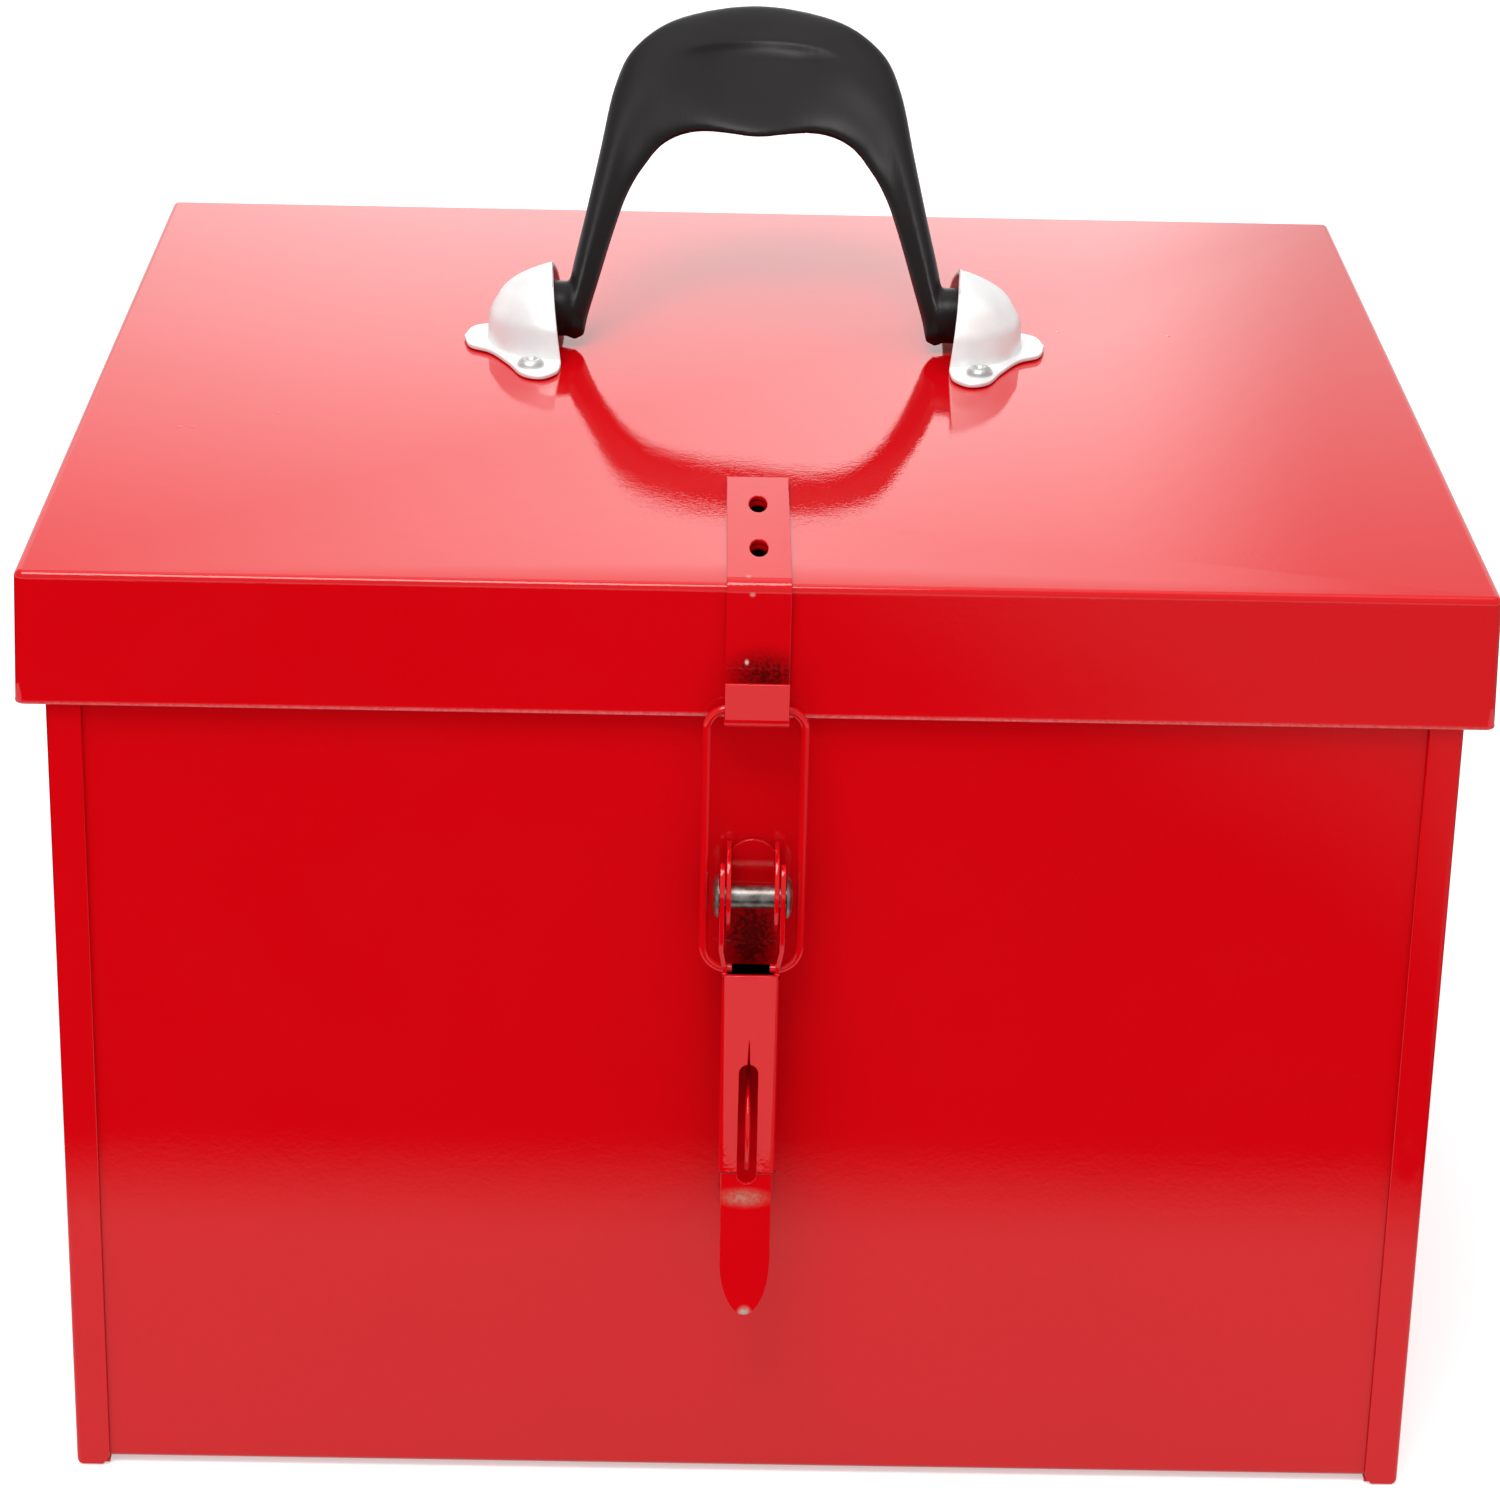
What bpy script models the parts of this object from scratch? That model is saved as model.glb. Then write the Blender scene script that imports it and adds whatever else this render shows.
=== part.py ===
"""Painted sheet-steel lunch box with a hinged lid, a draw latch and a folding carry handle.

Dimensions are in millimetres, and add_part() turns them into metres.
X runs along the front, the latch faces -Y, and the box stands on Z = 0.
"""
from math import cos, pi, radians, sin, sqrt

import bmesh
import bpy
from mathutils import Matrix, Vector

MM = 0.001
GAP = 0.3                        # air left between neighbouring pieces

# Lid: a pan with four skirts folded down, the side skirts slightly splayed
LID_WIDTH = 350.0
LID_DEPTH = 327.2
LID_TOP = 243.0
LID_SHEET = 1.0
LID_BEND = 1.6
SKIRT = 33.6
SKIRT_SPLAY = 1.0
SKIRT_CORNER = 2.0
LID_Y = 5.1                      # puts the origin under the middle of the whole object

# Body: one sheet folded into front, bottom and back, and two flanged end panels
BODY_WIDTH = 338.0
SHEET = 1.0
BODY_FRONT = LID_Y - 160.5
BODY_BACK = LID_Y + 160.5
BODY_TOP = 241.2
BOTTOM_BEND = 2.0
HEM_DEPTH = 8.0
HEM_GAP = 0.4
FLANGE = 8.5
PANEL_BEND = 1.6
FLANGE_CHAMFER = 2.5

# Hinge along the back
HINGE_LENGTH = 300.0
HINGE_KNUCKLES = 9
HINGE_CURL = 2.5
HINGE_PIN_R = 1.6
HINGE_Y = LID_Y + LID_DEPTH / 2 + GAP + HINGE_CURL + 0.5
HINGE_Z = 208.2
LEAF = 1.0

# Draw latch: base and staple on the body, lever on a pin, wire bail, hooked strap on the lid
BASE_HALF = 6.4
BASE_SHEET = 1.2
BASE_Z = (78.0, 177.4)
EAR_NOSE = 13.5
EAR_HALF_HEIGHT = 11.0
PIN_OUT = 9.0                    # pin axis, ahead of the body's front sheet
PIN_Z = 165.6
PIN_R = 2.8
PIN_HEAD_R = 5.2
LEVER_HALF = 6.95
LEVER_EAR_HALF = 7.9
LEVER_SHEET = 1.2
LEVER_OUT = 11.4                 # web face at its top, ahead of the body's front sheet
WEB_LEAN = 5.2                   # the web's foot stands this much further out
LEVER_EAR_TOP = 8.4
WEB_TOP = 145.6
WEB_BOTTOM = 94.8
TONGUE_HALF = 6.2
TONGUE_TIP = 56.8
TONGUE_ROUND = 14.0
TONGUE_BEND = 2.7
SLOT_HALF = 2.3
SLOT_Z = (92.0, 122.9)
STAPLE_Z = 104.0
STAPLE_HALF = 13.5
STAPLE_OUT = 19.5
STAPLE_BAR = 2.4
STAPLE_THICK = 1.4
BAIL_WIRE_R = 1.1
BAIL_HALF = 11.65
BAIL_PIVOT_OUT = 8.5
BAIL_PIVOT_Z = 146.4
BAIL_BAR_OUT = 6.05
BAIL_BAR_Z = 212.7
BAIL_END = 4.6
BAIL_CORNERS = (6.0, 4.8)
STRAP_HALF = 7.7
STRAP_SHEET = 1.2
STRAP_END_Y = LID_Y - 89.2
STRAP_SLOTS_Y = (LID_Y - 109.7, LID_Y - 141.6)
STRAP_SLOT = (2.25, 6.2)         # half width, half length
HOOK_BOTTOM = 209.7
HOOK_TOP = 220.8
HOOK_LEAN = 1.2                  # the lip's top edge is bent back by this much
HOOK_WIDTH = 5.9                 # clear width of the trough that the bail's bar lies in

# Handle and its two pressed brackets
HANDLE_Y = LID_Y + 27.0
PIVOT_UP = 9.5                   # trunnion axis above the lid
TRUNNION_R = 7.6
TRUNNION_X = (48.0, 58.8)
BRACKET_X = 52.4
BRACKET_SHEET = 1.2
DOME_OUT = 19.4
DOME_HALF = 21.4
DOME_HEIGHT = 22.8
DOME_LEAN = 3.0
RIVET_U = 7.9
RIVET_V = 26.8
RIVET_HEAD_R = 3.6
RIVET_HEAD = 2.0
RIVET_SHANK_R = 1.9
RIVET_TAIL_R = 3.0
RIVET_TAIL = 1.2

# Half of the foot's outline from the front of the opening to the outer lobe:
# distance outwards, distance from the handle's plane
FOOT_OUTLINE = ((0.0, -26.0), (0.9, -31.5), (4.8, -36.0), (10.0, -33.5), (14.0, -24.0),
                (19.4, -13.5), (25.2, -8.5), (27.2, 0.0))

# Half of the handle from a leg's foot to the middle of the grip, as it leans back at rest:
# outer edge and inner edge (each x, y from the pivot and height above the lid), thickness
HANDLE_STATIONS = (((51.4, -5.6, 4.0), (46.6, -5.6, 4.0), 7.0),
                   ((52.0, -1.4, 8.4), (45.8, -1.6, 8.0), 13.5),
                   ((50.4, 5.0, 18.6), (43.1, 3.8, 16.2), 11.0),
                   ((47.2, 17.2, 30.8), (39.0, 14.5, 28.2), 9.0),
                   ((43.6, 34.2, 44.8), (35.6, 22.8, 36.2), 9.0),
                   ((40.0, 52.0, 58.6), (31.4, 28.8, 42.2), 9.2),
                   ((34.6, 63.0, 67.2), (25.2, 35.6, 47.6), 9.6),
                   ((22.0, 73.0, 73.4), (15.5, 38.6, 50.0), 10.0),
                   ((0.0, 80.6, 76.0), (0.0, 36.4, 49.2), 10.0))

COLOURS = {
    "red_paint": ((0.62, 0.004, 0.012), 0.25, 0.0),
    "zinc_plate": ((0.72, 0.73, 0.72), 0.35, 1.0),
    "bare_steel": ((0.28, 0.27, 0.26), 0.40, 1.0),
    "black_plastic": ((0.025, 0.024, 0.026), 0.42, 0.0),
}


def clear_scene():
    for obj in list(bpy.data.objects):
        bpy.data.objects.remove(obj, do_unlink=True)


def material(name):
    mat = bpy.data.materials.get(name)
    if mat is None:
        colour, roughness, metallic = COLOURS[name]
        mat = bpy.data.materials.new(name)
        mat.use_nodes = True
        shader = mat.node_tree.nodes["Principled BSDF"]
        shader.inputs["Base Color"].default_value = (*colour, 1.0)
        shader.inputs["Roughness"].default_value = roughness
        shader.inputs["Metallic"].default_value = metallic
    return mat


def pivot(name, place, parent=None):
    """An empty on a joint's axis; place is in millimetres, in the object's frame."""
    empty = bpy.data.objects.new(name, None)
    empty["place"] = place
    origin = Vector(parent["place"]) if parent else Vector()
    empty.location = (Vector(place) - origin) * MM
    empty.parent = parent
    bpy.context.collection.objects.link(empty)
    return empty


def add_part(name, bm, slot, parent=None, smooth=40.0):
    """Turns a bmesh in millimetres into a named object under its joint's empty."""
    origin = Vector(parent["place"]) if parent else Vector()
    bmesh.ops.translate(bm, verts=bm.verts, vec=-origin)
    bmesh.ops.scale(bm, verts=bm.verts, vec=(MM, MM, MM))
    bmesh.ops.recalc_face_normals(bm, faces=bm.faces)
    mesh = bpy.data.meshes.new(name)
    bm.to_mesh(mesh)
    bm.free()
    mesh.shade_smooth()
    mesh.set_sharp_from_angle(angle=radians(smooth))
    mesh.materials.append(material(slot))
    obj = bpy.data.objects.new(name, mesh)
    obj.parent = parent
    bpy.context.collection.objects.link(obj)
    return obj


# ---------------------------------------------------------------- outlines

def arc(centre, radius, start, end, steps):
    """Points on an arc, angles in degrees."""
    angles = [radians(start + (end - start) * i / steps) for i in range(steps + 1)]
    return [(centre[0] + radius * cos(a), centre[1] + radius * sin(a)) for a in angles]


def rounded(points, radius, steps=3):
    """An open line of points with its inner corners rounded."""
    radii = radius if isinstance(radius, (list, tuple)) else [radius] * (len(points) - 2)
    line = [Vector(points[0])]
    for before, corner, after, r in zip(points, points[1:], points[2:], radii):
        corner = Vector(corner)
        into = (Vector(before) - corner).normalized()
        out = (Vector(after) - corner).normalized()
        half = into.angle(out) / 2
        reach = r / max(1e-6, abs(sin(half) / cos(half)))
        middle = corner + (into + out).normalized() * (r / sin(half))
        a = corner + into * reach - middle
        b = corner + out * reach - middle
        for i in range(steps + 1):
            t = i / steps
            swept = a.angle(b)
            mix = (a * sin((1 - t) * swept) + b * sin(t * swept)) / sin(swept)
            line.append(middle + mix)
    line.append(Vector(points[-1]))
    return line


def thickened(line, thickness):
    """The closed outline of a strip of even thickness centred on an open line."""
    line = [Vector(p[:2]) for p in line]
    left, right = [], []
    for i, p in enumerate(line):
        before = (p - line[i - 1]).normalized() if i else (line[1] - p).normalized()
        after = (line[i + 1] - p).normalized() if i + 1 < len(line) else before
        along = (before + after).normalized()
        across = Vector((-along.y, along.x)) * (thickness / 2 / max(0.3, along.dot(before)))
        left.append(p + across)
        right.append(p - across)
    return left + right[::-1]


def spline(points, steps):
    """A smooth open curve through the points (Catmull-Rom), as vectors."""
    pts = [Vector(p) for p in points]
    pts = [2 * pts[0] - pts[1]] + pts + [2 * pts[-1] - pts[-2]]
    curve = []
    for a, b, c, d in zip(pts, pts[1:], pts[2:], pts[3:]):
        for i in range(steps):
            t = i / steps
            curve.append(0.5 * (2 * b + (c - a) * t + (2 * a - 5 * b + 4 * c - d) * t * t
                                + (3 * b - a - 3 * c + d) * t ** 3))
    return curve + [pts[-2]]


# ---------------------------------------------------------------- solids

def prism(outline, low, high, to_xyz):
    """A closed prism: the outline's two values and a third from low to high."""
    bm = bmesh.new()
    rings = [[bm.verts.new(to_xyz(p[0], p[1], w)) for p in outline] for w in (low, high)]
    bm.faces.new(rings[0][::-1])
    bm.faces.new(rings[1])
    count = len(outline)
    for i in range(count):
        j = (i + 1) % count
        bm.faces.new((rings[0][i], rings[0][j], rings[1][j], rings[1][i]))
    bmesh.ops.recalc_face_normals(bm, faces=bm.faces)
    return bm


def along_x(outline, low, high):
    """Outline in Y and Z, extruded along X."""
    return prism(outline, low, high, lambda a, b, w: (w, a, b))


def along_y(outline, low, high):
    """Outline in X and Z, extruded along Y."""
    return prism(outline, low, high, lambda a, b, w: (a, w, b))


def along_z(outline, low, high):
    """Outline in X and Y, extruded along Z."""
    return prism(outline, low, high, lambda a, b, w: (a, b, w))


def box(low, high, bevel=0.0, steps=2, pick=None):
    """A box, with the edges that pick() accepts rounded."""
    bm = bmesh.new()
    bmesh.ops.create_cube(bm, size=1.0)
    for v in bm.verts:
        v.co = [lo if c < 0 else hi for c, lo, hi in zip(v.co, low, high)]
    if bevel:
        edges = [e for e in bm.edges if pick(e)]
        bmesh.ops.bevel(bm, geom=edges, offset=bevel, segments=steps, profile=0.5,
                        affect="EDGES")
    return bm


def loft(rings, caps=True):
    """A closed skin through rings of equal length."""
    bm = bmesh.new()
    rows = [[bm.verts.new(p) for p in ring] for ring in rings]
    for a, b in zip(rows, rows[1:]):
        for i in range(len(a)):
            j = (i + 1) % len(a)
            bm.faces.new((a[i], a[j], b[j], b[i]))
    if caps:
        bm.faces.new(rows[0][::-1])
        bm.faces.new(rows[-1])
    bmesh.ops.recalc_face_normals(bm, faces=bm.faces)
    return bm


def turned(profile, centre, axis="Z", steps=20):
    """A solid of revolution: profile is (radius, height) pairs between two points on the axis."""
    bm = bmesh.new()
    first = bm.verts.new((0, 0, profile[0][1]))
    last = bm.verts.new((0, 0, profile[-1][1]))
    rows = [[bm.verts.new((r * cos(2 * pi * i / steps), r * sin(2 * pi * i / steps), h))
             for i in range(steps)] for r, h in profile[1:-1]]
    for i in range(steps):
        j = (i + 1) % steps
        bm.faces.new((first, rows[0][j], rows[0][i]))
        bm.faces.new((last, rows[-1][i], rows[-1][j]))
        for a, b in zip(rows, rows[1:]):
            bm.faces.new((a[i], a[j], b[j], b[i]))
    if axis == "X":
        bmesh.ops.rotate(bm, verts=bm.verts, matrix=Matrix.Rotation(pi / 2, 3, "Y"))
    bmesh.ops.translate(bm, verts=bm.verts, vec=centre)
    bmesh.ops.recalc_face_normals(bm, faces=bm.faces)
    return bm


def rod(radius, low, high, centre, axis="Z", steps=20):
    return turned([(0, low), (radius, low), (radius, high), (0, high)], centre, axis, steps)


def combined(first, second, operation):
    """first with second added or cut away, as one bmesh."""
    objects = []
    for bm in (first, second):
        mesh = bpy.data.meshes.new("work")
        bm.to_mesh(mesh)
        bm.free()
        obj = bpy.data.objects.new("work", mesh)
        bpy.context.collection.objects.link(obj)
        objects.append(obj)
    modifier = objects[0].modifiers.new("combine", "BOOLEAN")
    modifier.operation = operation
    modifier.object = objects[1]
    result = bmesh.new()
    result.from_object(objects[0], bpy.context.evaluated_depsgraph_get())
    for obj in objects:
        mesh = obj.data
        bpy.data.objects.remove(obj)
        bpy.data.meshes.remove(mesh)
    return result


def joined(first, *others):
    for other in others:
        first = combined(first, other, "UNION")
    return first


def cut(first, *others):
    for other in others:
        first = combined(first, other, "DIFFERENCE")
    return first


def solidified(skin, thickness):
    """A thin skin given thickness on its inner side."""
    mesh = bpy.data.meshes.new("work")
    skin.to_mesh(mesh)
    skin.free()
    obj = bpy.data.objects.new("work", mesh)
    bpy.context.collection.objects.link(obj)
    modifier = obj.modifiers.new("sheet", "SOLIDIFY")
    modifier.thickness = thickness
    modifier.offset = -1.0
    modifier.use_even_offset = True
    result = bmesh.new()
    result.from_object(obj, bpy.context.evaluated_depsgraph_get())
    bpy.data.objects.remove(obj)
    bpy.data.meshes.remove(mesh)
    return result


# ---------------------------------------------------------------- body

def make_body_shell():
    half = SHEET / 2
    front, back = BODY_FRONT + half, BODY_BACK - half
    floor = SHEET + GAP + half
    fold = half * 2 + HEM_GAP
    crown = BODY_TOP - half - fold / 2

    def hem(side, inwards):
        centre = (side + inwards * fold / 2, crown)
        bend = arc(centre, fold / 2, 0 if inwards > 0 else 180, 180 if inwards > 0 else 0, 4)
        return [(side + inwards * fold, crown - HEM_DEPTH)] + bend

    folds = rounded([(front, crown - 1), (front, floor), (back, floor), (back, crown - 1)],
                    BOTTOM_BEND - half, 3)
    line = hem(front, 1) + folds[1:-1] + hem(back, -1)[::-1]
    reach = BODY_WIDTH / 2 - SHEET - GAP
    add_part("body_shell", along_x(thickened(line, SHEET), -reach, reach), "red_paint")


def make_end_panel(name, side):
    """An open tray whose front, back and bottom flanges wrap over the body sheet."""
    outer = BODY_WIDTH / 2
    front = BODY_FRONT - GAP - SHEET
    back = BODY_BACK + GAP + SHEET

    def folded(edge):
        middle = (edge.verts[0].co + edge.verts[1].co) / 2
        return middle.x > outer - 3 and middle.z < BODY_TOP - 1

    tray = box((outer - FLANGE, front, 0), (outer, back, BODY_TOP), PANEL_BEND, 3, folded)
    hollow = box((outer - FLANGE - 5, front + SHEET, SHEET),
                 (outer - SHEET, back - SHEET, BODY_TOP + 5), PANEL_BEND - SHEET, 2, folded)
    tray = cut(tray, hollow)
    for y in (front, back):
        inwards = 1 if y == front else -1
        corner = [(outer - FLANGE - 1, -1), (outer - FLANGE + FLANGE_CHAMFER, -1),
                  (outer - FLANGE - 1, FLANGE_CHAMFER + 1)]
        tray = cut(tray, along_y(corner, y - inwards, y + inwards * (SHEET + GAP / 2)))
    if side < 0:
        bmesh.ops.scale(tray, verts=tray.verts, vec=(-1, 1, 1))
        bmesh.ops.reverse_faces(tray, faces=tray.faces)
    add_part(name, tray, "red_paint")


# ---------------------------------------------------------------- hinge

def make_hinge(lid_pivot):
    barrel = HINGE_CURL + LEAF / 2
    near = HINGE_Y - HINGE_CURL
    half = HINGE_LENGTH / 2
    span = HINGE_LENGTH / HINGE_KNUCKLES
    on_body = BODY_BACK + GAP + LEAF / 2
    lower_line = rounded([(on_body, HINGE_Z - 29.0), (on_body, HINGE_Z - 14.0),
                          (near, HINGE_Z - 9.0),
                          (near, HINGE_Z - barrel - 1.0)], 1.5, 2)
    lower = along_x(thickened(lower_line, LEAF), -half, half)
    upper_line = [(near, HINGE_Z + barrel + 1.0), (near, LID_TOP - 12.0)]
    upper = along_x(thickened(upper_line, LEAF), -half, half)
    tab = LEAF * 0.9
    for i in range(HINGE_KNUCKLES):
        low = -half + i * span + 0.2
        high = low + span - 0.4
        if i % 2:
            curl = arc((HINGE_Y, HINGE_Z), HINGE_CURL, 180, 470, 14)
            line = [(near, HINGE_Z + barrel + 3.0)] + curl
            upper = joined(upper, along_x(thickened(line, tab), low, high))
        else:
            curl = arc((HINGE_Y, HINGE_Z), HINGE_CURL, 180, -110, 14)
            line = [(near, HINGE_Z - barrel - 3.0)] + curl
            lower = joined(lower, along_x(thickened(line, tab), low, high))
    add_part("hinge_leaf_lower", lower, "red_paint")
    add_part("hinge_leaf_upper", upper, "red_paint", lid_pivot)
    pin = rod(HINGE_PIN_R, -half - 1, half + 1, (0, HINGE_Y, HINGE_Z), "X", 12)
    add_part("hinge_pin", pin, "bare_steel")


# ---------------------------------------------------------------- lid

def lid_side(bm, corners, out, length_axis):
    """A bend and a skirt folded down from the flat top between two of its corners."""
    splay = SKIRT_SPLAY if length_axis == 1 else 0.0
    ends = [corners[0], corners[1]]
    rows = [ends]
    steps = 4
    for i in range(1, steps + 1):
        a = radians(90 * i / steps)
        rows.append([bm.verts.new(c.co + out * (LID_BEND * sin(a))
                                  - Vector((0, 0, LID_BEND * (1 - cos(a))))) for c in ends])
    for a, b in zip(rows, rows[1:]):
        bm.faces.new((a[0], b[0], b[1], a[1]))
    top = rows[-1]
    along = (top[1].co - top[0].co).normalized()
    drop = SKIRT - LID_BEND

    def point(base, depth, shift):
        lean = splay * depth / drop
        return bm.verts.new(base.co + along * shift + out * lean - Vector((0, 0, depth)))

    edge = [top[0], point(top[0], drop - SKIRT_CORNER, 0), point(top[0], drop, SKIRT_CORNER),
            point(top[1], drop, -SKIRT_CORNER), point(top[1], drop - SKIRT_CORNER, 0), top[1]]
    bm.faces.new(edge)


def make_lid_pan(lid_pivot):
    bm = bmesh.new()
    x, y = LID_WIDTH / 2 - LID_BEND, LID_DEPTH / 2 - LID_BEND
    flat = [bm.verts.new((sx * x, LID_Y + sy * y, LID_TOP))
            for sx, sy in ((-1, -1), (1, -1), (1, 1), (-1, 1))]
    bm.faces.new(flat)
    for i, out in enumerate(((0, -1, 0), (1, 0, 0), (0, 1, 0), (-1, 0, 0))):
        lid_side(bm, (flat[i], flat[(i + 1) % 4]), Vector(out), i % 2)
    pan = solidified(bm, LID_SHEET)
    for x, y in rivet_places():
        pan = cut(pan, rod(RIVET_SHANK_R + GAP, -3, 3, (x, y, LID_TOP), steps=16))
    for slot in strap_slots():
        pan = cut(pan, along_z(slot, LID_TOP - 3, LID_TOP + 3))
    add_part("lid_pan", pan, "red_paint", lid_pivot)


# ---------------------------------------------------------------- handle and brackets

def rivet_places():
    x = BRACKET_X + RIVET_U
    return [(sx * x, HANDLE_Y + sy * RIVET_V) for sx in (-1, 1) for sy in (-1, 1)]


def make_bracket(name, side, lid_pivot):
    """A pressed quarter dome, open towards the handle, on a lobed foot."""
    front = spline(FOOT_OUTLINE, 2)
    outline = front + [Vector((p.x, -p.y)) for p in front[-2::-1]]
    count = len(outline) - 1
    base = LID_TOP + GAP + BRACKET_SHEET
    height = DOME_HEIGHT - GAP - BRACKET_SHEET
    bm = bmesh.new()

    def vertex(u, v, up):
        lean = DOME_LEAN * up / height
        return bm.verts.new((side * (BRACKET_X + u + lean), HANDLE_Y + v, base + up))

    def ring(scale, up):
        angles = [pi * (i / count - 0.5) for i in range(count + 1)]
        return [vertex(DOME_OUT * scale * cos(a), DOME_HALF * scale * sin(a), up)
                for a in angles]

    apex = vertex(0, 0, height)
    reaches = (0.22, 0.44, 0.64, 0.8, 0.9, 0.96, 0.99)
    rows = [ring(r, height * (1 - 0.45 * r ** 1.2) * (1 - r ** 8) ** 0.5) for r in reaches]
    rows.append(ring(1.06, 0.0))
    rows.append([vertex(p.x, p.y, 0) for p in outline])
    for i in range(count):
        bm.faces.new((apex, rows[0][i], rows[0][i + 1]))
        for a, b in zip(rows, rows[1:]):
            bm.faces.new((a[i], b[i], b[i + 1], a[i + 1]))
    if side < 0:
        bmesh.ops.reverse_faces(bm, faces=bm.faces)
    shell = solidified(bm, BRACKET_SHEET)
    for x, y in rivet_places():
        if x * side > 0:
            shell = cut(shell, rod(RIVET_SHANK_R + GAP, -3, 3, (x, y, base), steps=16))
    add_part(name, shell, "zinc_plate", lid_pivot)


def make_rivets(lid_pivot):
    seat = LID_TOP + 2 * GAP + BRACKET_SHEET
    under = LID_TOP - LID_SHEET - GAP
    profile = [(0, seat + RIVET_HEAD)]
    for angle in (60, 30, 0):
        a = radians(angle)
        profile.append((RIVET_HEAD_R * cos(a), seat + RIVET_HEAD * (0.3 + 0.7 * sin(a))))
    profile += [(RIVET_HEAD_R, seat), (RIVET_SHANK_R, seat), (RIVET_SHANK_R, under),
                (RIVET_TAIL_R, under), (RIVET_TAIL_R * 0.8, under - RIVET_TAIL),
                (0, under - RIVET_TAIL)]
    names = ("rivet_left_front", "rivet_left_rear", "rivet_right_front", "rivet_right_rear")
    for name, (x, y) in zip(names, rivet_places()):
        add_part(name, turned(profile, (x, y, 0), steps=16), "zinc_plate", lid_pivot)


def make_handle(handle_pivot):
    stations = list(HANDLE_STATIONS)
    for (ox, oy, oz), (ix, iy, iz), depth in HANDLE_STATIONS[-2::-1]:
        stations.append(((-ox, oy, oz), (-ix, iy, iz), depth))
    outer, inner = (spline([station[k] for station in stations], 4) for k in (0, 1))
    depths = spline([(station[2], 0.0) for station in stations], 4)
    rows = [(o, i, d.x) for o, i, d in zip(outer, inner, depths)]
    middles = [(o + i) / 2 for o, i, _ in rows]
    place = Vector((0, HANDLE_Y, LID_TOP))
    rings = []
    for index, (o, i, depth) in enumerate(rows):
        reach = (o - i) / 2
        before = middles[max(index - 1, 0)]
        after = middles[min(index + 1, len(middles) - 1)]
        across = (after - before).cross(reach).normalized() * (depth / 2)
        angles = [2 * pi * k / 14 for k in range(14)]
        rings.append([place + middles[index] + reach * cos(a) + across * sin(a)
                      for a in angles])
    grip = loft(rings)
    axis = place + Vector((0, 0, PIVOT_UP))
    for side in (-1, 1):
        low, high = sorted(side * x for x in TRUNNION_X)
        grip = joined(grip, rod(TRUNNION_R, low, high, axis, "X", 18))
    add_part("handle_grip", grip, "black_plastic", handle_pivot)


# ---------------------------------------------------------------- latch

def ahead(distance):
    """Y of a point this far in front of the body's front sheet."""
    return BODY_FRONT - distance


def make_latch_base():
    low, high = BASE_Z
    half = BASE_HALF - 0.1
    crown = arc((0, high - half), half, 0, 180, 8)
    plate = along_y([(-half, low), (half, low)] + crown, ahead(GAP + BASE_SHEET), ahead(GAP))
    nose = []
    for i in range(11):
        a = pi * (i / 10 - 0.5)
        nose.append((ahead(3 + (EAR_NOSE - 3) * cos(a)), PIN_Z + EAR_HALF_HEIGHT * sin(a)))
    ear = [(ahead(GAP + 0.1), PIN_Z - EAR_HALF_HEIGHT)] + nose
    ear += [(ahead(GAP + 0.1), PIN_Z + EAR_HALF_HEIGHT)]
    for side in (-1, 1):
        span = sorted((side * (BASE_HALF - BASE_SHEET), side * BASE_HALF))
        plate = joined(plate, along_x(ear, *span))
    hole = rod(PIN_R + GAP, -12, 12, (0, ahead(PIN_OUT), PIN_Z), "X", 16)
    add_part("latch_base", cut(plate, hole), "red_paint")


def make_padlock_staple():
    """A flat hoop that stands out through the lever's slot."""
    foot = GAP + BASE_SHEET + GAP
    outer = [(ahead(foot + (STAPLE_OUT - foot) * sin(pi * i / 16)),
              STAPLE_Z - STAPLE_HALF * cos(pi * i / 16)) for i in range(17)]
    inner = [(ahead(foot + (STAPLE_OUT - foot - STAPLE_BAR) * sin(pi * i / 16)),
              STAPLE_Z + (STAPLE_HALF - STAPLE_BAR) * cos(pi * i / 16)) for i in range(17)]
    hoop = along_x(outer + inner, -STAPLE_THICK / 2, STAPLE_THICK / 2)
    add_part("padlock_staple", hoop, "red_paint")


def make_latch_pin():
    head = LEVER_EAR_HALF + GAP
    profile = [(0, -head - 1.4), (PIN_HEAD_R * 0.7, -head - 1.4), (PIN_HEAD_R, -head - 0.7),
               (PIN_HEAD_R, -head), (PIN_R, -head), (PIN_R, head), (PIN_HEAD_R, head),
               (PIN_HEAD_R, head + 0.7), (PIN_HEAD_R * 0.7, head + 1.4), (0, head + 1.4)]
    pin = turned(profile, (0, ahead(PIN_OUT), PIN_Z), "X", 18)
    add_part("latch_pin", pin, "bare_steel")


def web_out(z):
    """How far the lever's face stands ahead of the body's front sheet at a height."""
    down = min(1.0, max(0.0, (WEB_TOP - z) / (WEB_TOP - WEB_BOTTOM)))
    bend = max(0.0, (WEB_BOTTOM - z) / (WEB_BOTTOM - TONGUE_TIP))
    return LEVER_OUT + WEB_LEAN * down + TONGUE_BEND * bend ** 1.5


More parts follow.
